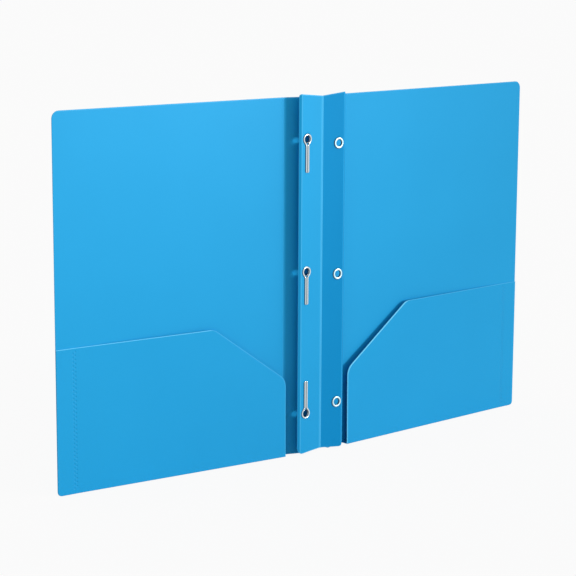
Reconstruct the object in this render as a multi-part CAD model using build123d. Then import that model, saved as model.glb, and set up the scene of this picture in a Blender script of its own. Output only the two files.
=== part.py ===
from build123d import *
from math import cos, radians, sin, tan
import os

# Two pocket folder of blue sheet plastic, standing open on its lower edge.
# +Z is up, +X runs along the opened folder and the inside faces -Y.
# Lengths are in millimetres and angles in degrees.

# The scored sheet: two covers and two hinge panels
sheet_thickness = 0.6
cover_height = 295.0
cover_width = 211.0
hinge_panel_width = 33.0
cover_top_corner_radius = 6.0
cover_bottom_corner_radius = 3.5
spine_relief_depth = 4.6
spine_relief_length = 14.0

# How far the standing folder is open, each angle measured from the X axis
hinge_panel_angle = 18.5
cover_angle = 2.4
wing_angle = 2.3

# Clearances at the folds
score_clearance = 0.28
spine_clearance = 0.8
wing_to_seam_clearance = 0.1
wing_to_panel_clearance = 0.1

# Pockets
pocket_height = 114.5
pocket_inner_height = 65.0
pocket_flat_share = 0.667
pocket_score_clearance = 1.5
pocket_gape = 6.2
pocket_margin = 18.0
pocket_shoulder_radius = 12.0
pocket_inner_radius = 11.0
pocket_outer_radius = 1.5

# Weld marks down the outer margin of each pocket
weld_inset = 15.6
weld_mark_length = 1.7
weld_mark_width = 1.3
weld_mark_depth = 0.25
weld_mark_pitch = 3.2
weld_end_margin = 4.5

# Fastener strip
seam_radius = 0.4
wing_thickness = 0.55
wing_width = 24.5
wing_curl_width = 2.6
wing_curl_angle = 35.0
wing_end_notch = 2.4
wing_top_corner_radius = 2.0
wing_bottom_corner_radius = 5.0
strip_raise = 1.0
strip_overhang = 3.0
hole_from_crease = 16.4
hole_spacing = 108.0

# Eyelets
eyelet_bore_radius = 2.65
eyelet_wall = 0.4
eyelet_flange_radius = 4.75
eyelet_flange_height = 0.8
eyelet_lip_share = 0.4
eyelet_crown_share = 0.5
eyelet_back_radius = 4.1
eyelet_back_thickness = 0.35
setting_clearance = 0.03

# Prongs
prong_eye_offset = 5.1
prong_eye_radius = 4.5
prong_eye_hole_radius = 2.9
prong_eye_point_offset = 3.7
prong_eye_point_radius = 0.35
prong_plate_thickness = 0.8
prong_plate_round = 0.25
prong_barrel_wall = 0.4
prong_back_radius = 4.2
prong_back_thickness = 0.4
leg_width = 1.9
leg_split = 0.14
leg_length = 22.0
leg_thickness = 0.7
leg_seat = 0.15
leg_start = 0.2
leg_tip_radius = 1.3
leg_round = 0.25

# Derived places, all in the right-hand half; the left-hand half is its mirror image
wing_start = seam_radius + wing_to_seam_clearance
panel_front = wing_thickness + wing_to_panel_clearance
score_depth = panel_front + sheet_thickness / 2
strip_top = cover_height + strip_overhang
hole_middle = strip_raise + cover_height / 2
hole_heights = {
    "top": hole_middle + hole_spacing,
    "middle": hole_middle,
    "bottom": hole_middle - hole_spacing,
}
cut_reach = pocket_gape + pocket_margin

panel_frame = Location((0, 0, 0), (0, 0, hinge_panel_angle))
score_point = (panel_frame * Pos(hinge_panel_width, score_depth, 0)).position
cover_frame = Location(tuple(score_point), (0, 0, cover_angle))
wing_frame = Location((0, 0, 0), (0, 0, -wing_angle))


def outline(*points):
    """Face in the XZ plane through (across, height) points."""
    return make_face(Plane.XZ * Polyline(*points, close=True))


def plate(face, front, thickness):
    """Sheet with its front face at y = front, running back by its thickness."""
    return Pos(0, front + thickness, 0) * extrude(face, thickness, dir=(0, -1, 0))


def corner(face, across, height):
    """The corner of a face nearest to a place in the XZ plane."""
    return face.vertices().sort_by_distance((across, 0, height))[0]


def rounded(face, *corners):
    """Face with each (across, height, radius) corner rounded."""
    for across, height, radius in corners:
        face = fillet(corner(face, across, height), radius)
    return face


def hinge_panel():
    inner = spine_clearance
    outer = hinge_panel_width - score_clearance
    face = outline(
        (inner, spine_relief_depth),
        (spine_relief_length, 0),
        (outer, 0),
        (outer, cover_height),
        (spine_relief_length, cover_height),
        (inner, cover_height - spine_relief_depth),
    )
    return plate(face, panel_front, sheet_thickness)


def cover():
    face = outline(
        (score_clearance, 0),
        (cover_width, 0),
        (cover_width, cover_height),
        (score_clearance, cover_height),
    )
    face = rounded(
        face,
        (cover_width, 0, cover_bottom_corner_radius),
        (cover_width, cover_height, cover_top_corner_radius),
    )
    return plate(face, -sheet_thickness / 2, sheet_thickness)


def pocket_flap():
    """Flap lying on the cover along its welded margin and standing off it towards its free inner edge."""
    inner = pocket_score_clearance
    margin_start = cover_width - pocket_margin
    seat = -sheet_thickness / 2
    back = [(inner, seat - pocket_gape), (margin_start, seat), (cover_width, seat)]
    front = [(across, depth - sheet_thickness) for across, depth in reversed(back)]
    section = make_face(Polyline(*back, *front, close=True))
    flap = extrude(section, pocket_height, dir=(0, 0, 1))
    return flap & plate(pocket_outline(), -cut_reach, 2 * cut_reach)


def pocket_floor():
    """Wedge-shaped bottom between the cover's lower edge and the flap's."""
    inner = pocket_score_clearance
    margin_start = cover_width - pocket_margin
    seat = -sheet_thickness / 2
    wedge = make_face(Polyline((inner, seat), (margin_start, seat), (inner, seat - pocket_gape), close=True))
    return extrude(wedge, sheet_thickness, dir=(0, 0, 1))


def pocket_outline():
    inner = pocket_score_clearance
    shoulder = cover_width * (1 - pocket_flat_share)
    face = outline(
        (inner, 0),
        (cover_width, 0),
        (cover_width, pocket_height),
        (shoulder, pocket_height),
        (inner, pocket_inner_height),
    )
    return rounded(
        face,
        (cover_width, 0, cover_bottom_corner_radius),
        (cover_width, pocket_height, pocket_outer_radius),
        (shoulder, pocket_height, pocket_shoulder_radius),
        (inner, pocket_inner_height, pocket_inner_radius),
    )


def weld_marks():
    """Row of shallow marks where the flap is welded to the cover."""
    run = pocket_height - 2 * weld_end_margin - weld_mark_length
    count = int(run / weld_mark_pitch) + 1
    first = weld_end_margin + weld_mark_length / 2
    front = -sheet_thickness / 2 - sheet_thickness
    mark = Box(weld_mark_width, 2 * weld_mark_depth, weld_mark_length)
    across = cover_width - weld_inset
    return [Pos(across, front, first + step * weld_mark_pitch) * mark for step in range(count)]


def pocket():
    return pocket_flap() + pocket_floor() - weld_marks()


def strip_seam():
    """Bead along the crease where the strip is welded to the spine."""
    length = strip_top - strip_raise - 2 * wing_end_notch
    return Pos(0, 0, (strip_raise + strip_top) / 2) * Cylinder(seam_radius, length)


def wing(hole_radius, hole_rise):
    """Half of the fastener strip, its front face through the crease and its free edge curled back."""
    bend = wing_width - wing_curl_width
    curl_across = wing_curl_width * cos(radians(wing_curl_angle))
    curl_back = wing_curl_width * sin(radians(wing_curl_angle))
    skin_across = wing_thickness * sin(radians(wing_curl_angle))
    skin_back = wing_thickness * cos(radians(wing_curl_angle))
    profile = Polyline(
        (wing_start, 0),
        (bend, 0),
        (bend + curl_across, curl_back),
        (bend + curl_across - skin_across, curl_back + skin_back),
        (bend - wing_thickness * tan(radians(wing_curl_angle / 2)), wing_thickness),
        (wing_start, wing_thickness),
        close=True,
    )
    strip = Pos(0, 0, strip_raise) * extrude(make_face(profile), strip_top - strip_raise)
    edge = bend + curl_across
    face = outline(
        (wing_start, strip_raise + wing_end_notch),
        (edge, strip_raise),
        (edge, strip_top),
        (wing_start, strip_top - wing_end_notch),
    )
    face = rounded(
        face,
        (edge, strip_raise, wing_bottom_corner_radius),
        (edge, strip_top, wing_top_corner_radius),
    )
    strip = strip & plate(face, -cut_reach, 2 * cut_reach)
    hole = Rot(90, 0, 0) * Cylinder(hole_radius, 2 * cut_reach)
    rises = [height + hole_rise[place] for place, height in hole_heights.items()]
    return strip - [Pos(hole_from_crease, 0, rise) * hole for rise in rises]


def eyelet():
    """Rolled metal ring, its flange in front of the wing and its barrel clinched behind."""
    bore = eyelet_bore_radius
    barrel = bore + eyelet_wall
    flange = eyelet_flange_radius
    lip = -eyelet_flange_height * eyelet_lip_share
    crown = bore + (flange - bore) * eyelet_crown_share
    back = wing_thickness + eyelet_back_thickness
    crest = ThreePointArc((bore, lip), (crown, -eyelet_flange_height), (flange, 0))
    rest = Polyline(
        (flange, 0),
        (barrel, 0),
        (barrel, wing_thickness),
        (eyelet_back_radius, wing_thickness),
        (eyelet_back_radius, back),
        (bore, back),
        (bore, lip),
    )
    return Pos(hole_from_crease, 0, 0) * revolve(make_face(crest + rest), Axis.Y)


def prong_base(leg_way):
    """Teardrop ring with its neck at height zero, the eye on the side away from the legs."""
    eye = -leg_way * prong_eye_offset
    neck_end = -leg_way * leg_start
    point = eye + leg_way * prong_eye_point_offset
    half_neck = leg_width + leg_split / 2
    neck = Line((-half_neck, neck_end), (half_neck, neck_end))
    ring = make_hull([(Pos(0, eye) * Circle(prong_eye_radius)).edge(), neck.edge()])
    eye_circle = (Pos(0, eye) * Circle(prong_eye_hole_radius)).edge()
    tip_circle = (Pos(0, point) * Circle(prong_eye_point_radius)).edge()
    face = Plane.XZ * (ring - make_hull([eye_circle, tip_circle]))
    base = extrude(face, prong_plate_thickness)
    base = fillet(base.faces().sort_by(Axis.Y)[0].edges(), prong_plate_round)
    barrel_radius = prong_eye_hole_radius + prong_barrel_wall
    barrel = Circle(barrel_radius) - Circle(prong_eye_hole_radius)
    clinch = Circle(prong_back_radius) - Circle(prong_eye_hole_radius)
    base += Pos(0, 0, eye) * plate(Plane.XZ * barrel, 0, wing_thickness)
    base += Pos(0, 0, eye) * plate(Plane.XZ * clinch, wing_thickness, prong_back_thickness)
    return Pos(hole_from_crease, 0, 0) * base


def prong_leg(side, leg_way):
    """One flat leg, side +1 towards the wing's free edge, running leg_way up or down from the neck."""
    near = side * leg_split / 2
    far = near + side * leg_width
    start = leg_way * leg_start
    tip = leg_way * leg_length
    face = outline((near, start), (far, start), (far, tip), (near, tip))
    face = rounded(face, (far, tip, leg_tip_radius))
    leg = plate(face, -leg_seat - leg_thickness, leg_thickness)
    leg = fillet(leg.faces().sort_by(Axis.Y)[0].edges(), leg_round)
    return Pos(hole_from_crease, 0, 0) * leg


def left(shape):
    return mirror(shape, Plane.YZ)


leg_ways = {"top": -1, "middle": -1, "bottom": 1}
leg_sides = {"outer": 1, "inner": -1}
eye_rises = {place: -way * prong_eye_offset for place, way in leg_ways.items()}
no_rises = {place: 0 for place in hole_heights}
prong_hole_radius = prong_eye_hole_radius + prong_barrel_wall + setting_clearance
eyelet_hole_radius = eyelet_bore_radius + eyelet_wall + setting_clearance

shapes = {
    "right_hinge_panel": panel_frame * hinge_panel(),
    "right_cover": cover_frame * cover(),
    "right_pocket": cover_frame * pocket(),
    "left_hinge_panel": left(panel_frame * hinge_panel()),
    "left_cover": left(cover_frame * cover()),
    "left_pocket": left(cover_frame * pocket()),
    "strip_seam": strip_seam(),
    "eyelet_wing": wing_frame * wing(eyelet_hole_radius, no_rises),
    "prong_wing": left(wing_frame * wing(prong_hole_radius, eye_rises)),
}
for place, height in hole_heights.items():
    at_hole = wing_frame * Pos(0, 0, height)
    way = leg_ways[place]
    shapes["eyelet_" + place] = at_hole * eyelet()
    shapes["prong_base_" + place] = left(at_hole * prong_base(way))
    for name, side in leg_sides.items():
        shapes["prong_" + place + "_" + name + "_leg"] = left(at_hole * prong_leg(side, way))

# The origin is put under the middle of the whole folder, at the lower edge
extent = Compound(list(shapes.values())).bounding_box()
to_origin = Pos(-extent.center().X, -extent.center().Y, -extent.min.Z)

os.makedirs("parts", exist_ok=True)
for name, shape in shapes.items():
    export_step(to_origin * shape, "parts/" + name + ".step")
print("spine crease at", to_origin.position)
print("right score at", (to_origin * cover_frame).position)
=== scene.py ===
import math
import bmesh
import bpy
from mathutils import Matrix, Vector


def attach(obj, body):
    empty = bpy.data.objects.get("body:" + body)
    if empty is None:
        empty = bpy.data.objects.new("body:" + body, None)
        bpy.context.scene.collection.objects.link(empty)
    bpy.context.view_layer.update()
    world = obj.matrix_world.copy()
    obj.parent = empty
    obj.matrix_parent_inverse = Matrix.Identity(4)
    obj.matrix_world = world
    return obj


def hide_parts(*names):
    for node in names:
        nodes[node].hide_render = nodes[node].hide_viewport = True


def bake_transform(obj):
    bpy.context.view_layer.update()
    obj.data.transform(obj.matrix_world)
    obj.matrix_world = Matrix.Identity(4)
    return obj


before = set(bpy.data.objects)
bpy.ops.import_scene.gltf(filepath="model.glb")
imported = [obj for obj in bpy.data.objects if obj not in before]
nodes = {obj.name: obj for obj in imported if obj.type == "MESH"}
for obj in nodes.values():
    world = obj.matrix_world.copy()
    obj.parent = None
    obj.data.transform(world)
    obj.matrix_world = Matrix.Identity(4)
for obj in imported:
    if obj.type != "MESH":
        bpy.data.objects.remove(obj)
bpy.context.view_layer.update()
print("frame loaded:", len(nodes), "nodes")


class Shade:                       # one value of a material, with arithmetic on it
    def __init__(self, tree, socket=None):
        self.tree = tree
        self.socket = socket

    def node(self, kind, settings, sockets, out=0):
        made = self.tree.nodes.new("ShaderNode" + kind)
        for name, value in settings.items():
            setattr(made, name, value)
        for name, value in sockets.items():
            if isinstance(value, Shade):
                self.tree.links.new(value.socket, made.inputs[name])
            else:
                made.inputs[name].default_value = value
        return Shade(self.tree, made.outputs[out] if made.outputs else None)

    def maths(self, operation, first, second):
        return self.node("Math", {"operation": operation}, {0: first, 1: second})

    def __add__(self, other):
        return self.maths("ADD", self, other)

    def __radd__(self, other):
        return self.maths("ADD", other, self)

    def __sub__(self, other):
        return self.maths("SUBTRACT", self, other)

    def __rsub__(self, other):
        return self.maths("SUBTRACT", other, self)

    def __mul__(self, other):
        return self.maths("MULTIPLY", self, other)

    def __rmul__(self, other):
        return self.maths("MULTIPLY", other, self)


def newMaterial(name):
    material = bpy.data.materials.new(name)
    material.use_nodes = True
    material.node_tree.nodes.clear()
    return material, Shade(material.node_tree)


def mixColours(shade, amount, first, second):
    return shade.node("Mix", {"data_type": "RGBA"}, {0: amount, 6: first, 7: second}, 2)


blueSheet = {
    "colour": (0.009, 0.350, 0.700, 1),
    "cloudColour": (0.012, 0.376, 0.740, 1),
    "paleColour": (0.10, 0.60, 0.97, 1),     # worn rims and stress-whitened folds, partly a painted highlight on rims and folds
    "paleShare": 0.2,
    "dentColour": (0.004, 0.230, 0.500, 1),  # shade in the pressed weld dots
    "dentShare": 0.3,
    "roughness": 0.44,
    "roughnessSpread": 0.10,
    "specular": 0.13,
    "grainScale": 2600.0,
    "grainDepth": 0.00002,
    "grainStrength": 0.3,
    "grainRoughness": 0.05,
    "grainDetail": 2.0,
    "cloudScale": 14.0,
    "cloudDetail": 3.0,
    "rubScale": 34.0,                        # long soft rub marks from handling
    "rubStretch": 0.22,
    "rubDetail": 5.0,
    "rubRoughness": 0.65,
}


def makeBlueSheet(name, values):
    material, shade = newMaterial(name)
    place = shade.node("TexCoord", {}, {}, 3)
    cloud = shade.node("TexNoise", {}, {
        "Vector": place, "Scale": values["cloudScale"], "Detail": values["cloudDetail"],
    })
    grain = shade.node("TexNoise", {}, {
        "Vector": place, "Scale": values["grainScale"], "Detail": values["grainDetail"],
    })
    stretched = shade.node("Mapping", {}, {"Vector": place, "Scale": (1.0, 1.0, values["rubStretch"])})
    rub = shade.node("TexNoise", {}, {
        "Vector": stretched, "Scale": values["rubScale"], "Detail": values["rubDetail"],
        "Roughness": values["rubRoughness"],
    })
    pale = shade.node("Attribute", {"attribute_name": "pale"}, {}, 2)
    body = mixColours(shade, cloud, values["colour"], values["cloudColour"])
    dent = shade.node("Attribute", {"attribute_name": "foot"}, {}, 2)
    pressed = mixColours(shade, dent * values["dentShare"], body, values["dentColour"])
    colour = mixColours(shade, pale * values["paleShare"], pressed, values["paleColour"])
    rough = values["roughness"] + (rub - 0.5) * values["roughnessSpread"]
    rough = rough + (grain - 0.5) * values["grainRoughness"]
    bump = shade.node("Bump", {}, {
        "Strength": values["grainStrength"], "Distance": values["grainDepth"], "Height": grain,
    })
    surface = shade.node("BsdfPrincipled", {}, {
        "Base Color": colour, "Roughness": rough, "Normal": bump, "Specular IOR Level": values["specular"],
    })
    shade.node("OutputMaterial", {}, {"Surface": surface})
    return material


nickel = {
    # the blue tint of the plate is a painted reflection of the blue sheet
    "colour": (0.74, 0.84, 0.88, 1),
    "dull": (0.54, 0.63, 0.67, 1),
    "footShadeColour": (0.10, 0.13, 0.17, 1),     # painted shade where the metal meets the sheet, on the flanks and in the bores
    "footShadeShare": 0.85,
    "roughness": 0.17,
    "drawScale": 1500.0,                     # fine lines left by drawing and plating
    "drawStretch": 0.08,
    "drawDetail": 3.0,
    "drawStrength": 0.12,
    "drawDepth": 0.00002,
    "drawRoughness": 0.10,
    "spotScale": 420.0,
    "spotDetail": 4.0,
    "spotShare": 0.6,
    "spotRoughness": 0.08,
}


def makeNickel(name, values):
    material, shade = newMaterial(name)
    place = shade.node("TexCoord", {}, {}, 3)
    stretched = shade.node("Mapping", {}, {"Vector": place, "Scale": (1.0, 1.0, values["drawStretch"])})
    lines = shade.node("TexNoise", {}, {
        "Vector": stretched, "Scale": values["drawScale"], "Detail": values["drawDetail"],
    })
    spots = shade.node("TexNoise", {}, {
        "Vector": place, "Scale": values["spotScale"], "Detail": values["spotDetail"],
    })
    foot = shade.node("Attribute", {"attribute_name": "foot"}, {}, 2)
    plate = mixColours(shade, spots * values["spotShare"], values["colour"], values["dull"])
    colour = mixColours(shade, foot * values["footShadeShare"], plate, values["footShadeColour"])
    rough = values["roughness"] + (lines - 0.5) * values["drawRoughness"]
    rough = rough + (spots - 0.5) * values["spotRoughness"]
    bump = shade.node("Bump", {}, {
        "Strength": values["drawStrength"], "Distance": values["drawDepth"], "Height": lines,
    })
    surface = shade.node("BsdfPrincipled", {}, {
        "Base Color": colour, "Roughness": rough, "Metallic": 1.0, "Normal": bump,
    })
    shade.node("OutputMaterial", {}, {"Surface": surface})
    return material


coverMaterial = makeBlueSheet("coverSheet", blueSheet)
# pocket rims fully pale and brighter: wear plus a painted highlight on the edges
pocketMaterial = makeBlueSheet("pocketSheet", dict(blueSheet, paleShare=1.0, paleColour=(0.16, 0.68, 1.0, 1)))
stripSheet = dict(blueSheet, paleShare=0.6, cloudScale=22.0, rubScale=60.0)
stripMaterial = makeBlueSheet("stripSheet", stripSheet)
# copy of the strip sheet painted darker for the eyelet wing: painted shade, since that wing is lit less than
# the prong wing
shadedStripMaterial = makeBlueSheet("shadedStripSheet", dict(
    stripSheet, paleShare=0.3, specular=0.05,
    colour=(0.003, 0.262, 0.578, 1), cloudColour=(0.004, 0.280, 0.604, 1)))
nickelMaterial = makeNickel("nickelPlate", nickel)
# darker, bluer copy for the eyelets: painted reflection of the blue sheet
eyeletMaterial = makeNickel("eyeletPlate", dict(
    nickel, roughness=0.36, colour=(0.52, 0.74, 0.83, 1), dull=(0.38, 0.56, 0.64, 1)))
print("materials made")

mm = 0.001                         # the sizes of the pieces are in millimetres

# crease or score line (x, y) and the turn about it, for the right-hand half
folds = {
    "panel": (0.0, -9.43959, 18.5),
    "cover": (30.9932, 1.93237, 2.4),
    "wing": (0.0, -9.43959, -2.3),
}
holeHeights = {"top": 256.5, "middle": 148.5, "bottom": 40.5}
legWays = {"top": -1, "middle": -1, "bottom": 1}
holeAlong = 16.4


def spot(sheet, side, point):      # (along, back, height) on a sheet, to metres in the frame
    x, y, turn = folds[sheet]
    c, s = math.cos(math.radians(turn)), math.sin(math.radians(turn))
    along, back, height = point
    return Vector((side * (x + along * c - back * s), y + along * s + back * c, height)) * mm


def smooth(low, high, value):
    share = min(max((value - low) / (high - low), 0.0), 1.0)
    return share * share * (3 - 2 * share)


def spread(low, high, count, rim):  # even cells with a narrow one at each end
    inner = [low + rim + (high - low - 2 * rim) * k / count for k in range(count + 1)]
    return [low] + inner + [high]


rimAngles = (45, 90, 135)


# rows of front points, to a closed sheet with a rounded rim
def sheetMesh(rows, thick, tint=None, rimPale=None):
    m, n = len(rows), len(rows[0])
    rows = [[Vector(point) for point in row] for row in rows]

    def backward(j, i):
        across = rows[j][min(i + 1, n - 1)] - rows[j][max(i - 1, 0)]
        up = rows[min(j + 1, m - 1)][i] - rows[max(j - 1, 0)][i]
        return up.cross(across).normalized()

    points = [point for row in rows for point in row]
    points += [rows[j][i] + backward(j, i) * thick for j in range(m) for i in range(n)]
    faces = []
    for j in range(m - 1):
        for i in range(n - 1):
            quad = (j * n + i, j * n + i + 1, (j + 1) * n + i + 1, (j + 1) * n + i)
            faces += [quad, tuple(k + m * n for k in reversed(quad))]
    loop = [(0, i) for i in range(n)] + [(j, n - 1) for j in range(1, m)]
    loop += [(m - 1, i) for i in range(n - 2, -1, -1)] + [(j, 0) for j in range(m - 2, 0, -1)]
    rings = [[j * n + i for j, i in loop]]
    for angle in rimAngles:
        turn = math.radians(angle)
        ring = []
        for k, (j, i) in enumerate(loop):
            before, after = loop[k - 1], loop[(k + 1) % len(loop)]
            tangent = rows[after[0]][after[1]] - rows[before[0]][before[1]]
            normal = backward(j, i)
            outward = normal.cross(tangent).normalized()
            middle = rows[j][i] + normal * thick / 2
            ring.append(len(points))
            points.append(middle + (outward * math.sin(turn) - normal * math.cos(turn)) * thick / 2)
        rings.append(ring)
    rings.append([k + m * n for k in rings[0]])
    for first, second in zip(rings, rings[1:]):
        for k in range(len(loop)):
            after = (k + 1) % len(loop)
            faces.append((first[k], second[k], second[after], first[after]))
    # pale rims: wear plus a painted highlight along the edges
    pale = [0.0] * len(points)
    for ring in rings:
        for k, (j, i) in zip(ring, loop):
            edge = "top" if j == m - 1 else "inner" if i == 0 else "outer" if i == n - 1 else "bottom"
            pale[k] = rimPale[edge] if rimPale else 1.0
    if tint:                       # pale lines drawn on the front
        pale[:m * n] = [max(pale[k], tint(k // n, k % n)) for k in range(m * n)]
    return points, faces, pale


def loftFaces(rings, count):       # sides between rings of points, and a cap at each end
    faces = []
    for j in range(rings - 1):
        for k in range(count):
            after = (k + 1) % count
            faces.append((j * count + k, j * count + after, (j + 1) * count + after, (j + 1) * count + k))
    return faces + [tuple(range(count)), tuple(range((rings - 1) * count, rings * count))]


def makePiece(name, points, faces, material, pale=None, foot=None):
    mesh = bpy.data.meshes.new(name)
    mesh.from_pydata([tuple(point) for point in points], [], faces)
    shape = bmesh.new()
    shape.from_mesh(mesh)
    bmesh.ops.recalc_face_normals(shape, faces=shape.faces)
    shape.to_mesh(mesh)
    shape.free()
    mesh.polygons.foreach_set("use_smooth", [True] * len(mesh.polygons))
    for word, values in (("pale", pale), ("foot", foot)):
        if values:
            mesh.attributes.new(word, "FLOAT", "POINT").data.foreach_set("value", values)
    mesh.materials.append(material)
    piece = bpy.data.objects.new(name, mesh)
    bpy.context.scene.collection.objects.link(piece)
    return piece


def makeSheet(name, sheet, side, rows, thick, material, body, node,
              tint=None, rimPale=None, dents=None):
    points, faces, pale = sheetMesh(rows, thick, tint, rimPale)
    foot = dents + [0.0] * (len(points) - len(dents)) if dents else None
    piece = makePiece(name, [spot(sheet, side, point) for point in points], faces, material, pale, foot)
    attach(piece, body)
    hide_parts(node)
    return piece


sides = {"left": -1, "right": 1}

cover = {
    "width": 211.0, "height": 295.0, "thick": 0.6, "topRadius": 6.0, "bottomRadius": 3.5, "scoreGap": 0.28,
    "columns": 30, "rows": 40, "rim": 0.8, "cornerAngles": (15, 30, 45, 57, 68, 77, 84, 90),
}


def makeCover(name, side, values):
    half = values["thick"] / 2
    low, high = half, values["height"] - half
    edge = values["width"] - half
    top, bottom = values["topRadius"] - half, values["bottomRadius"] - half
    columns = spread(values["scoreGap"], edge - values["topRadius"], values["columns"], values["rim"])
    columns += [edge - top + top * math.sin(math.radians(angle)) for angle in values["cornerAngles"]]
    lines = []
    for along in columns:
        drop = max(along - (edge - top), 0.0)
        lift = max(along - (edge - bottom), 0.0)
        highest = high - top + math.sqrt(max(top * top - drop * drop, 0.0))
        lowest = low + bottom - math.sqrt(max(bottom * bottom - lift * lift, 0.0))
        column = spread(lowest, highest, values["rows"], values["rim"])
        lines.append([(along, -half, height) for height in column])
    rows = [list(row) for row in zip(*lines)]
    makeSheet(name + "CoverSheet", "cover", side, rows, values["thick"], coverMaterial,
              name + "_cover", name + "_cover")


panel = {
    "width": 33.0, "height": 295.0, "thick": 0.6, "front": 0.65, "middle": 0.95,
    "scoreGap": 0.28, "creaseGap": 0.8, "reliefDepth": 4.6, "reliefLength": 14.0,
    "columns": 24, "rows": 40, "rim": 0.8,
}


def makePanel(name, side, values):
    half = values["thick"] / 2
    lines = []
    near, far = values["creaseGap"] + half, values["width"] - values["scoreGap"]
    for along in spread(near, far, values["columns"], values["rim"]):
        relief = values["reliefDepth"] * max(1 - along / values["reliefLength"], 0.0)
        column = spread(half + relief, values["height"] - half - relief, values["rows"], values["rim"])
        lines.append([(along, values["front"], height) for height in column])
    rows = [list(row) for row in zip(*lines)]
    makeSheet(name + "HingePanel", "panel", side, rows, values["thick"], coverMaterial,
              name + "_panel", name + "_hinge_panel")


for name, side in sides.items():
    makeCover(name, side, cover)
    makePanel(name, side, panel)
print("covers and hinge panels made")

foldStrip = {
    "reach": 0.75, "skin": 0.03, "thick": 0.6, "height": 295.0, "steps": 9, "ease": 0.6,
    "endGap": 0.3, "rows": 40, "rim": 0.8, "pivotHeight": 147.0,
}


def makeScoreFold(name, side, values):      # the living hinge between a panel and its cover
    thick = values["thick"] - 2 * values["skin"]
    shape = []
    for k in range(values["steps"]):
        share = 2 * k / (values["steps"] - 1) - 1
        along = share * values["reach"]
        ease = smooth(-values["ease"], values["ease"], share)
        onPanel = spot("panel", side, (panel["width"] + along, panel["middle"], 0))
        onCover = spot("cover", side, (along, 0, 0))
        middle = onPanel.lerp(onCover, ease)
        turn = math.radians(folds["panel"][2] + (folds["cover"][2] - folds["panel"][2]) * ease)
        back = Vector((-side * math.sin(turn), math.cos(turn), 0)) * thick / 2 * mm
        shape.append((middle - back, middle + back))
    section = [pair[0] for pair in shape] + [pair[1] for pair in reversed(shape)]
    heights = spread(values["endGap"], values["height"] - values["endGap"], values["rows"], values["rim"])
    points = [point + Vector((0, 0, height * mm)) for height in heights for point in section]
    faces = loftFaces(len(heights), len(section))
    piece = makePiece(name + "ScoreFold", points, faces, coverMaterial)
    start = spot("panel", side, (panel["width"] - panel["scoreGap"], panel["middle"], values["pivotHeight"]))
    end = spot("cover", side, (cover["scoreGap"], 0, values["pivotHeight"]))
    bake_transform(piece)


spineFold = {
    "skin": 0.03, "thick": 0.6, "low": 4.7, "high": 290.3, "reach": 1.6, "near": 0.7,
    "bendHalf": 0.22, "bendBack": 1.11, "middleBack": 1.09, "rows": 40, "rim": 0.8, "pivotHeight": 147.0,
}


def makeSpineFold(values):         # the sheet turning round behind the strip seam
    thick = values["thick"] - 2 * values["skin"]
    creaseY = folds["panel"][1]
    alongs = (values["reach"], values["near"])
    ends = [[spot("panel", side, (along, panel["middle"], 0)) for along in alongs] for side in (-1, 1)]
    half, bendBack = values["bendHalf"], values["bendBack"]
    bend = [(-half, bendBack), (0, values["middleBack"]), (half, bendBack)]
    middle = ends[0] + [Vector((x, creaseY + back, 0)) * mm for x, back in bend] + ends[1][::-1]
    front, rear = [], []
    for k, point in enumerate(middle):
        before, after = middle[max(k - 1, 0)], middle[min(k + 1, len(middle) - 1)]
        tangent = (after - before).normalized()
        back = Vector((-tangent.y, tangent.x, 0)) * thick / 2 * mm
        front.append(point - back)
        rear.append(point + back)
    section = front + rear[::-1]
    heights = spread(values["low"], values["high"], values["rows"], values["rim"])
    points = [point + Vector((0, 0, height * mm)) for height in heights for point in section]
    faces = loftFaces(len(heights), len(section))
    piece = makePiece("spineFold", points, faces, coverMaterial)
    pivot = (panel["creaseGap"], panel["middle"], values["pivotHeight"])
    start, end = spot("panel", -1, pivot), spot("panel", 1, pivot)
    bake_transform(piece)


for name, side in sides.items():
    makeScoreFold(name, side, foldStrip)
makeSpineFold(spineFold)
print("folds made")

pocket = {
    "width": 211.0, "height": 114.5, "innerHeight": 65.0, "shoulder": 70.263, "inner": 1.5, "thick": 0.6,
    "shoulderRadius": 12.0, "innerRadius": 11.0, "bottomRadius": 3.5, "cornerSteps": 14,
    "gape": 6.2, "margin": 18.0, "marginBend": 9.0, "sag": 0.35,
    "columns": 24, "outerColumns": 5, "rim": 1.6, "band": 1.1, "rowStep": 0.4, "rowRim": 0.3,
    "floorSteps": 4, "floorGap": 0.02, "floorShare": 0.5, "bendShare": 0.8, "bendHeight": 0.1,
    "weldInset": 15.6, "weldGap": 2.0, "markColumns": (0.3, 0.6, 0.8, 0.95, 1.1, 1.3, 1.6),
    "markStart": 5.35, "markPitch": 3.2, "markCount": 34, "markDepth": 0.2, "markSpread": 0.95,
    "markStagger": 0.25,                     # share of the pitch, up on one line and down on the other
    "markWidth": 1.1, "sideShares": (0.25, 0.65), "markLength": 1.5, "endShares": (0.2, 0.6),
    "rimPale": {                             # how pale each edge is: wear plus a painted highlight, strongest on the edges that catch the light
        "left": {"inner": 0.2, "outer": 0.1, "top": 0.85, "bottom": 0.1},
        "right": {"inner": 1.0, "outer": 0.1, "top": 0.35, "bottom": 0.1},
    },
    "bandPale": {"left": 0.0, "right": 1.0}, "bandLow": 58.0, "bandHigh": 70.0,
}


def roundCorner(before, at, after, radius, steps):
    first, second = (before - at).normalized(), (after - at).normalized()
    half = first.angle(second) / 2
    reach = radius / math.tan(half)
    centre = at + (first + second).normalized() * radius / math.sin(half)
    start, end = at + first * reach - centre, at + second * reach - centre
    whole = start.angle(end)
    line = []
    for k in range(steps + 1):
        share = k / steps
        arm = start * math.sin((1 - share) * whole) + end * math.sin(share * whole)
        line.append(centre + arm / math.sin(whole))
    return line


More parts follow.
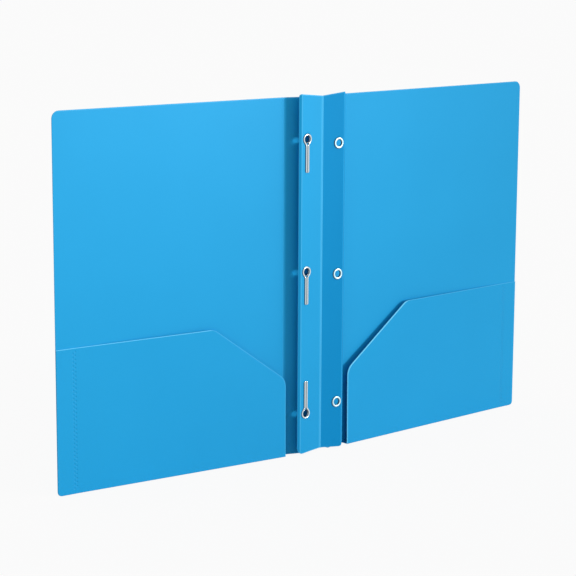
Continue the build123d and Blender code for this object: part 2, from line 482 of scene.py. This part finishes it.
def pocketInnerEdge(values):       # from the bottom up to the flat top, as (along, height)
    half = values["thick"] / 2
    inner, top = values["inner"] + half, values["height"] - half
    foot, knee = Vector((inner, 0.0)), Vector((inner, values["innerHeight"]))
    shoulder, far = Vector((values["shoulder"], top)), Vector((values["width"], top))
    line = [foot] + roundCorner(foot, knee, shoulder, values["innerRadius"], values["cornerSteps"])
    return line + roundCorner(knee, shoulder, far, values["shoulderRadius"], values["cornerSteps"])


def edgeAt(line, height):
    for first, second in zip(line, line[1:]):
        if first.y <= height <= second.y and second.y > first.y:
            return first.x + (second.x - first.x) * (height - first.y) / (second.y - first.y)
    return line[-1].x


def pocketGap(values, along):      # how far the flap stands off its cover
    start, bend = values["width"] - values["margin"], values["marginBend"]
    slope = values["gape"] / (start - values["inner"])
    reach = start + bend / 2 - along
    if reach <= 0:
        return 0.0
    if reach < bend:
        return slope * reach * reach / (2 * bend)
    return slope * (reach - bend / 2)


def markDepth(values, along, height):   # depth of the weld dots, which stand in two staggered lines
    across = along - (values["width"] - values["weldInset"])
    offset = abs(abs(across) - values["markSpread"])
    stagger = values["markStagger"] if across > 0 else -values["markStagger"]
    step = (height - values["markStart"]) / values["markPitch"] + stagger
    if step < -0.5 or step > values["markCount"] - 0.5:
        return 0.0
    rise = abs(step - round(step)) * values["markPitch"]
    side = 1 - smooth(*[values["markWidth"] * share for share in values["sideShares"]], offset)
    end = 1 - smooth(*[values["markLength"] * share for share in values["endShares"]], rise)
    return values["markDepth"] * side * end


def pocketColumns(values, line, height):
    half = values["thick"] / 2
    edge, weld = values["width"] - half, values["width"] - values["weldInset"]
    bottomRadius = values["bottomRadius"] - half
    start = edgeAt(line, height)
    lift = max(bottomRadius - max(height - half, 0.0), 0.0)
    end = edge - bottomRadius + math.sqrt(max(bottomRadius * bottomRadius - lift * lift, 0.0))
    first, inside, outside = start + values["rim"], weld - values["weldGap"], weld + values["weldGap"]
    marks = [-offset for offset in reversed(values["markColumns"])] + [0] + list(values["markColumns"])
    count, outerCount = values["columns"], values["outerColumns"]
    columns = [start, start + values["band"]]
    columns += [first + (inside - first) * k / count for k in range(count + 1)]
    columns += [weld + offset for offset in marks]
    columns += [outside + (end - outside - values["rim"]) * k / outerCount for k in range(outerCount + 1)]
    return columns + [end]


def makePocket(name, side, values):
    half, thick = values["thick"] / 2, values["thick"]
    line = pocketInnerEdge(values)
    top = values["height"] - half
    rows = []
    lowest = [(along, pocketGap(values, along)) for along in pocketColumns(values, line, half)]
    floor = values["floorGap"]
    for k in range(values["floorSteps"]):       # the narrow wedge-shaped bottom, from the cover to the fold
        share = k / values["floorSteps"]
        rows.append([(along, -half - floor - share * (gap + values["floorShare"] * thick), floor)
                     for along, gap in lowest])
    bend = half + values["bendShare"] * thick
    rows.append([(along, -bend - gap, values["bendHeight"]) for along, gap in lowest])
    count = round((top - half) / values["rowStep"])
    for height in spread(half, top, count, values["rowRim"]):
        bow = values["sag"] * math.sin(math.pi * height / values["height"])
        row = []
        for along in pocketColumns(values, line, height):
            gap = pocketGap(values, along) * (1 - bow / values["gape"])
            row.append((along, -half - thick - gap + markDepth(values, along, height), height))
        rows.append(row)

    def paintedHighlightBand(j, i):                # painted highlight: the pale rim runs a little way onto the face above the knee, on the right pocket only
        share = smooth(values["bandLow"], values["bandHigh"], rows[j][i][2])
        return values["bandPale"][name] * share if i == 1 else 0.0

    dents = [markDepth(values, along, height) / values["markDepth"]
             for row in rows for along, back, height in row]
    makeSheet(name + "PocketFlap", "cover", side, rows, thick, pocketMaterial,
              name + "_cover", name + "_pocket", paintedHighlightBand, values["rimPale"][name], dents)


for name, side in sides.items():
    makePocket(name, side, pocket)
print("pockets made")

wing = {
    "start": 0.36, "length": 24.5, "thick": 0.55, "hollow": 0.16,
    "curlStart": 21.0, "curlEnd": 22.9, "curlAngle": 38.0, "curlSteps": 14, "fineSteps": 8,
    "low": 1.0, "high": 298.0, "notch": 2.4, "topRadius": 2.0, "bottomRadius": 5.0, "rim": 0.8,
    "columns": 26, "columnRim": 0.5, "rows": 72, "punchSides": 40, "punchReach": 4.0,
    "bendLine": 21.9, "bendWidth": 0.7, "creaseWidth": 1.6, "creasePale": 1.0,      # stress-whitened lines, partly a painted highlight on the bend and the crease
}


def wingLine(values):              # (along, back) steps over the strip, its free edge curling back
    half = values["thick"] / 2
    end = values["length"] - half
    marks = spread(values["start"], values["curlStart"], values["columns"], values["columnRim"])
    steps, fine = values["curlSteps"], values["fineSteps"]
    marks += [values["curlStart"] + (end - values["curlStart"]) * k / steps for k in range(1, steps + 1)]
    line = []
    along, back, last = values["start"], 0.0, values["start"]
    for mark in marks:
        for k in range(fine):
            run = last + (mark - last) * (k + 0.5) / fine
            turn = math.radians(values["curlAngle"]) * smooth(values["curlStart"], values["curlEnd"], run)
            along += (mark - last) / fine * math.cos(turn)
            back += (mark - last) / fine * math.sin(turn)
        last = mark
        sag = values["hollow"] * math.sin(math.pi * min(mark / values["curlStart"], 1.0))
        line.append((along, back + sag, mark))
    return line


def makeWing(name, side, values, material, node, holeRadius, rises):
    half = values["thick"] / 2
    line = wingLine(values)
    reach = line[-1][0]

    def corner(along, radius):
        over = max(along - (reach - radius), 0.0)
        return radius - math.sqrt(max(radius * radius - over * over, 0.0))

    columns, lines = [], []
    for along, back, mark in line:
        notch = values["notch"] * (1 - along / reach)
        low = values["low"] + half + notch + corner(along, values["bottomRadius"] - half)
        high = values["high"] - half - notch - corner(along, values["topRadius"] - half)
        columns.append([(along, back, height) for height in spread(low, high, values["rows"], values["rim"])])
        bend = 1 - smooth(0.0, values["bendWidth"], abs(mark - values["bendLine"]))
        crease = 1 - smooth(0.0, values["creaseWidth"], mark - values["start"])
        lines.append(max(bend, values["creasePale"] * crease))
    rows = [list(row) for row in zip(*columns)]
    piece = makeSheet(name, "wing", side, rows, values["thick"], material, node, node,
                      lambda j, i: lines[i])
    cutters, count = [], values["punchSides"]
    for rise in rises.values():
        points = []
        for back in (-values["punchReach"], values["punchReach"]):
            for k in range(count):
                angle = math.tau * k / count
                point = (holeAlong + holeRadius * math.cos(angle), back, rise + holeRadius * math.sin(angle))
                points.append(spot("wing", side, point))
        cutters.append(makePiece(name + "Punch", points, loftFaces(2, count), stripMaterial))
    for cutter in cutters:
        cut = piece.modifiers.new("punch", "BOOLEAN")
        cut.operation, cut.solver, cut.object = "DIFFERENCE", "EXACT", cutter
    bpy.context.view_layer.update()
    punched = bpy.data.meshes.new_from_object(piece.evaluated_get(bpy.context.evaluated_depsgraph_get()))
    piece.modifiers.clear()
    piece.data = punched
    for cutter in cutters:
        bpy.data.objects.remove(cutter)


eyeOffset = 5.1
punchRadius = {"prong": 3.33, "eyelet": 3.08}
eyeRises = {place: height - legWays[place] * eyeOffset for place, height in holeHeights.items()}
makeWing("prongWing", -1, wing, stripMaterial, "prong_wing", punchRadius["prong"], eyeRises)
# the eyelet wing takes the painted-shade copy of the sheet and a fainter painted highlight on its crease
makeWing("eyeletWing", 1, dict(wing, creasePale=0.1), shadedStripMaterial, "eyelet_wing",
         punchRadius["eyelet"], holeHeights)
print("fastener strip made")

seam = {
    "radius": 0.42, "low": 3.2, "high": 295.8, "flat": 0.45, "endShare": 0.6,
    "ripple": 0.03, "rippleTurns": (1.7, 0.37), "sides": 14, "rows": 180, "rim": 0.5,
}


def makeSeam(values):              # pressed bead along the crease, a little uneven as a weld is
    points, count = [], values["sides"]
    heights = spread(values["low"], values["high"], values["rows"], values["rim"])
    x, y = folds["wing"][:2]
    quick, slow = values["rippleTurns"]
    for j, height in enumerate(heights):
        radius = values["radius"] + values["ripple"] * math.sin(j * quick) * math.sin(j * slow)
        if j in (0, len(heights) - 1):
            radius *= values["endShare"]
        for k in range(count):
            angle = math.tau * k / count
            rise = radius * math.sin(angle) * (values["flat"] if math.sin(angle) < 0 else 1.0)
            points.append(Vector((x + radius * math.cos(angle), y + rise, height)) * mm)
    faces = loftFaces(len(heights), count)
    # pale all over: stress-whitening along the crease, partly a painted highlight
    piece = makePiece("stripSeamBead", points, faces, stripMaterial, [1.0] * len(points))
    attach(piece, "left_panel")
    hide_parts("strip_seam")


makeSeam(seam)
print("seam made")

eyelet = {
    "bore": 2.65, "wall": 0.4, "flange": 4.75, "height": 0.8, "wingThick": 0.55, "segments": 56,
    "crestAngles": range(170, -1, -10), "crestPower": 0.8, "boreStep": 0.3, "footGap": 0.03,
    "backRadius": 4.1, "backThick": 0.35, "backStep": 0.15, "round": 0.12, "boreRound": 0.1,
    "paintedShadeFrom": 0.3, "paintedShadeTo": 0.8,      # share of the half width, out from the crest, over which the painted shade grows
}


def latheFaces(count, segments, first=0):
    faces = []
    for k in range(segments):
        after = (k + 1) % segments
        for i in range(count):
            other = (i + 1) % count
            quad = (k * count + i, after * count + i, after * count + other, k * count + other)
            faces.append(tuple(first + v for v in quad))
    return faces


def lathePoints(profile, segments, sheet, side, along, height):
    points = []
    for k in range(segments):
        angle = math.tau * k / segments
        for radius, back in profile:
            point = (along + radius * math.cos(angle), back, height + radius * math.sin(angle))
            points.append(spot(sheet, side, point))
    return points


def eyeletProfile(values):
    bore, flange, front, ease = values["bore"], values["flange"], values["wingThick"], values["round"]
    back = front + values["backThick"]
    profile = [(bore, back - values["boreRound"]), (bore, values["boreStep"]), (bore, 0.0)]
    middle, reach = (bore + flange) / 2, (flange - bore) / 2
    for angle in values["crestAngles"]:        # rolled crest from the bore out to the flange
        turn = math.radians(angle)
        lift = values["height"] * math.sin(turn) ** values["crestPower"] if angle > 0 else 0.0
        profile.append((middle + reach * math.cos(turn), -lift))
    barrel, rear = bore + values["wall"], values["backRadius"]
    profile += [(flange - ease, values["footGap"]), (barrel, values["footGap"]), (barrel, front)]
    profile += [(rear - values["boreRound"], front), (rear, front + values["backStep"])]
    return profile + [(rear - ease, back), (bore + ease, back)]


def makeEyelet(place, height, values):
    profile = eyeletProfile(values)
    points = lathePoints(profile, values["segments"], "wing", 1, holeAlong, height)
    middle, reach = (values["bore"] + values["flange"]) / 2, (values["flange"] - values["bore"]) / 2
    foot = []
    # painted shade darkens the edges of the crest, and fully the bore, barrel and back
    for radius, back in profile:
        paintedShade = smooth(values["paintedShadeFrom"], values["paintedShadeTo"], abs(radius - middle) / reach)
        foot.append(paintedShade if back < 0 else 1.0)
    foot *= values["segments"]
    faces = latheFaces(len(profile), values["segments"])
    piece = makePiece("eyelet" + place.capitalize(), points, faces, eyeletMaterial, foot=foot)
    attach(piece, "eyelet_wing")
    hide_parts("eyelet_" + place)


prong = {
    "ringRadius": 3.7, "ringHalf": 0.8, "ringHeight": 0.8, "neckOffset": 1.02, "neckEnd": 0.2,
    "ringSeat": 0.02, "ringSteps": 48, "neckSteps": 4, "holeRadius": 2.9, "wall": 0.4, "eyeBack": 2.35,
    "eyeLip": 0.5, "eyeMouth": 0.1, "eyeRim": 0.3, "eyeCrown": 0.38, "wingThick": 0.55, "segments": 48,
    "backRadius": 4.2, "backThick": 0.4, "backStep": 0.15, "backRound": 0.1, "edgeRound": 0.12,
    "legWidth": 1.9, "legSplit": 0.14, "legLength": 22.0, "legThick": 0.7, "legSeat": 0.15, "legStart": 0.2,
    "legRows": 16, "legRim": 0.3, "tipRadius": 1.3, "tipAngles": (20, 40, 56, 70, 80, 88), "tipThin": 0.45,
    "neckWide": 0.97, "neckThick": 0.95, "neckRuns": (0.1, 0.2, 0.3, 0.5, 0.7),
    "pivotBack": -0.5, "pivotReach": 0.2,
}


def ringPath(values):              # up the neck, round the eye and down again, as (across, rise from neck)
    centre, radius = eyeOffset, values["ringRadius"]
    foot = Vector((values["neckOffset"], values["neckEnd"]))
    span = foot - Vector((0.0, centre))
    lean = math.acos(radius / span.length)
    start = math.atan2(span.y, span.x) + lean        # where the side of the neck meets the ring
    steps, neckSteps = values["ringSteps"], values["neckSteps"]
    meet = Vector((radius * math.cos(start), centre + radius * math.sin(start)))
    path = [foot.lerp(meet, k / neckSteps) for k in range(neckSteps)]
    sweep = math.pi - 2 * start if start < math.pi / 2 else 0.0
    for k in range(steps + 1):
        angle = start + sweep * k / steps
        path.append(Vector((radius * math.cos(angle), centre + radius * math.sin(angle))))
    return path + [Vector((-point.x, point.y)) for point in reversed(path[:neckSteps])]


dome = {                           # section of rings and legs
    "angles": range(0, 181, 15), "power": 0.75, "paintedShadeFrom": 0.33, "paintedShadeTo": 0.85,
}


def domeFoot():                    # how near each point of a half-round section is to its foot: painted shade on the flanks of rings and legs
    reaches = [abs(math.cos(math.radians(angle))) for angle in dome["angles"]]
    return [smooth(dome["paintedShadeFrom"], dome["paintedShadeTo"], reach) for reach in reaches]


def domeSection(half, height, seat):    # half-round section of (across, back)
    section = []
    for angle in dome["angles"]:
        turn = math.radians(angle)
        lift = height * math.sin(turn) ** dome["power"] if 0 < angle < 180 else 0.0
        section.append((half * math.cos(turn), seat - lift))
    return section


def sweepRing(values, way, height):
    path = ringPath(values)
    section = domeSection(values["ringHalf"], values["ringHeight"], values["ringSeat"])
    points = []
    for k, point in enumerate(path):
        tangent = (path[min(k + 1, len(path) - 1)] - path[max(k - 1, 0)]).normalized()
        for across, back in section:
            place = point + Vector((tangent.y, -tangent.x)) * across
            points.append(spot("wing", -1, (holeAlong + place.x, back, height - way * place.y)))
    return points, loftFaces(len(path), len(section)), domeFoot() * len(path)


def makeProngBase(place, height, values):
    way = legWays[place]
    points, faces, foot = sweepRing(values, way, height)
    hole, wall, thick = values["holeRadius"], values["wall"], values["wingThick"]
    back = thick + values["backThick"]
    eye, rear = values["eyeBack"], values["backRadius"]
    mouth, rim = values["eyeMouth"], values["eyeRim"]
    profile = [(eye, back - values["backRound"]), (eye, values["eyeLip"]), (hole - mouth, mouth)]
    profile += [(hole, -rim), (hole + wall / 2, -values["eyeCrown"]), (hole + wall, -rim)]
    profile += [(hole + wall, thick), (rear - values["backRound"], thick), (rear, thick + values["backStep"])]
    profile += [(rear - values["edgeRound"], back), (eye + values["edgeRound"], back)]
    first = len(points)
    points += lathePoints(profile, values["segments"], "wing", -1, holeAlong, height - way * eyeOffset)
    faces += latheFaces(len(profile), values["segments"], first)
    # full painted shade on the eye's bore, barrel and back plate
    foot += [1.0] * (len(points) - first)
    piece = makePiece("prongBase" + place.capitalize(), points, faces, nickelMaterial, foot=foot)
    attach(piece, "prong_wing")
    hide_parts("prong_base_" + place)


def makeLeg(place, height, sideName, sideWay, values):
    way = legWays[place]
    near, width = values["legSplit"] / 2, values["legWidth"]
    tipStart = values["legLength"] - values["tipRadius"]
    runs = spread(values["legStart"], tipStart, values["legRows"], values["legRim"])
    runs += [tipStart + values["tipRadius"] * math.sin(math.radians(angle)) for angle in values["tipAngles"]]
    points = []
    for run in runs:
        short = max(run - tipStart, 0.0)
        far = width - values["tipRadius"] + math.sqrt(max(values["tipRadius"] ** 2 - short ** 2, 0.0))
        thick = values["legThick"] * (1 - values["tipThin"] * (1 - far / width))
        section = domeSection(far / 2, thick, -values["legSeat"])
        for across, back in section:
            offset = sideWay * (near + far / 2 + across)
            points.append(spot("wing", -1, (holeAlong + offset, back, height + way * run)))
    faces = loftFaces(len(runs), len(dome["angles"]))
    body = "prong_" + place + "_" + sideName + "_leg"
    name = "prong" + place.capitalize() + sideName.capitalize() + "Leg"
    piece = makePiece(name, points, faces, nickelMaterial, foot=domeFoot() * len(runs))
    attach(piece, body)
    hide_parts(body)


def makeNeck(place, height, sideName, sideWay, values):   # short bend that joins a leg to its ring
    way = legWays[place]
    half = values["legWidth"] / 2
    offset = sideWay * (values["legSplit"] / 2 + half)
    thick = values["legThick"] * values["neckThick"]
    section = domeSection(half * values["neckWide"], thick, -values["legSeat"])
    runs = [-run for run in reversed(values["neckRuns"])] + [0.0] + list(values["neckRuns"])
    points = []
    for run in runs:
        for across, back in section:
            points.append(spot("wing", -1, (holeAlong + offset + across, back, height + way * run)))
    faces = loftFaces(len(runs), len(section))
    name = "prong" + place.capitalize() + sideName.capitalize() + "Neck"
    piece = makePiece(name, points, faces, nickelMaterial, foot=domeFoot() * len(runs))
    start, end = [spot("wing", -1, (holeAlong, values["pivotBack"], height + way * reach))
                  for reach in (-values["pivotReach"], values["pivotReach"])]
    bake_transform(piece)


for place, height in holeHeights.items():
    makeEyelet(place, height, eyelet)
    makeProngBase(place, height, prong)
    for sideName, sideWay in (("outer", 1), ("inner", -1)):
        makeLeg(place, height, sideName, sideWay, prong)
        makeNeck(place, height, sideName, sideWay, prong)
print("eyelets and prongs made")

for name, piece in nodes.items():  # finish for the solids underneath
    metal = "leg" in name or "base" in name or (name.startswith("eyelet") and name != "eyelet_wing")
    piece.data.materials.clear()
    piece.data.materials.append(nickelMaterial if metal else coverMaterial)

stage = {"floorSize": 60.0, "floorColour": (0.6, 0.6, 0.6, 1), "glow": 0.93, "worldStrength": 0.635}


def seenRays(shade):               # camera, glossy and transmission rays
    camera = shade.node("LightPath", {}, {}, 0)
    glossy = shade.node("LightPath", {}, {}, 3)
    through = shade.node("LightPath", {}, {}, 6)
    return shade.node("Clamp", {}, {0: camera + glossy + through})


def makeFloor(values):
    half = values["floorSize"] / 2
    mesh = bpy.data.meshes.new("floor")
    corners = [(-half, -half, 0), (half, -half, 0), (half, half, 0), (-half, half, 0)]
    mesh.from_pydata(corners, [], [(0, 1, 2, 3)])
    floor = bpy.data.objects.new("floor", mesh)
    bpy.context.scene.collection.objects.link(floor)
    material, shade = newMaterial("paleFloor")
    paint = shade.node("BsdfDiffuse", {}, {"Color": values["floorColour"]})
    glow = shade.node("Emission", {}, {"Color": (1, 1, 1, 1), "Strength": 1.0})
    surface = shade.node("MixShader", {}, {0: seenRays(shade) * values["glow"], 1: paint, 2: glow})
    shade.node("OutputMaterial", {}, {"Surface": surface})
    mesh.materials.append(material)


def makeWorld(strength):
    world = bpy.data.worlds.new("studio")
    bpy.context.scene.world = world
    world.use_nodes = True
    world.node_tree.nodes.clear()
    shade = Shade(world.node_tree)
    level = strength + seenRays(shade) * (1.0 - strength)
    back = shade.node("Background", {}, {"Color": (1, 1, 1, 1), "Strength": level})
    shade.node("OutputWorld", {}, {"Surface": back})


def aimAt(piece, target):
    piece.rotation_mode = "QUATERNION"
    piece.rotation_quaternion = (Vector(target) - piece.location).to_track_quat("-Z", "Y")


def makeSun(name, values):
    lamp = bpy.data.lights.new(name, "SUN")
    lamp.energy = values["strength"]
    lamp.angle = math.radians(values["softness"])
    piece = bpy.data.objects.new(name, lamp)
    piece.location = Vector(values["from"]) * values["distance"]
    bpy.context.scene.collection.objects.link(piece)
    aimAt(piece, (0, 0, 0))


def makeSpot(name, values):
    lamp = bpy.data.lights.new(name, "SPOT")
    lamp.energy = values["energy"]
    lamp.spot_size = math.radians(values["beam"])
    lamp.spot_blend = values["blend"]
    lamp.shadow_soft_size = values["size"]
    piece = bpy.data.objects.new(name, lamp)
    piece.location = values["place"]
    bpy.context.scene.collection.objects.link(piece)
    aimAt(piece, values["target"])


keyLight = {"strength": 1.5, "softness": 10.0, "from": (0.512, -0.845, 0.156), "distance": 2.0}
topSpot = {
    "energy": 34.0, "beam": 22.0, "blend": 0.95, "size": 0.20,
    "place": (0.72, -1.05, 0.62), "target": (-0.14, 0, 0.335),
}
makeFloor(stage)
makeWorld(stage["worldStrength"])
makeSun("keyLight", keyLight)
makeSpot("topSpot", topSpot)
print("stage and lamps made")

camera = {
    "lens": 121.875, "sensor": 36.0, "clip": (0.05, 120.0),
    "place": (-0.992093, -1.2243926, 0.432754), "tilt": 10.638, "roll": 0.302, "turn": -38.234,
}


def makeCamera(values):
    data = bpy.data.cameras.new("camera")
    data.lens = values["lens"]
    data.sensor_width = values["sensor"]
    data.clip_start, data.clip_end = values["clip"]
    piece = bpy.data.objects.new("camera", data)
    piece.location = values["place"]
    turn = Matrix.Rotation(math.radians(values["turn"]), 3, "Z")
    tilt = Matrix.Rotation(math.radians(90 - values["tilt"]), 3, "X")
    roll = Matrix.Rotation(math.radians(values["roll"]), 3, "Z")
    piece.rotation_euler = (turn @ tilt @ roll).to_euler()
    bpy.context.scene.collection.objects.link(piece)
    bpy.context.scene.camera = piece


makeCamera(camera)
bpy.context.scene.view_settings.view_transform = "Standard"
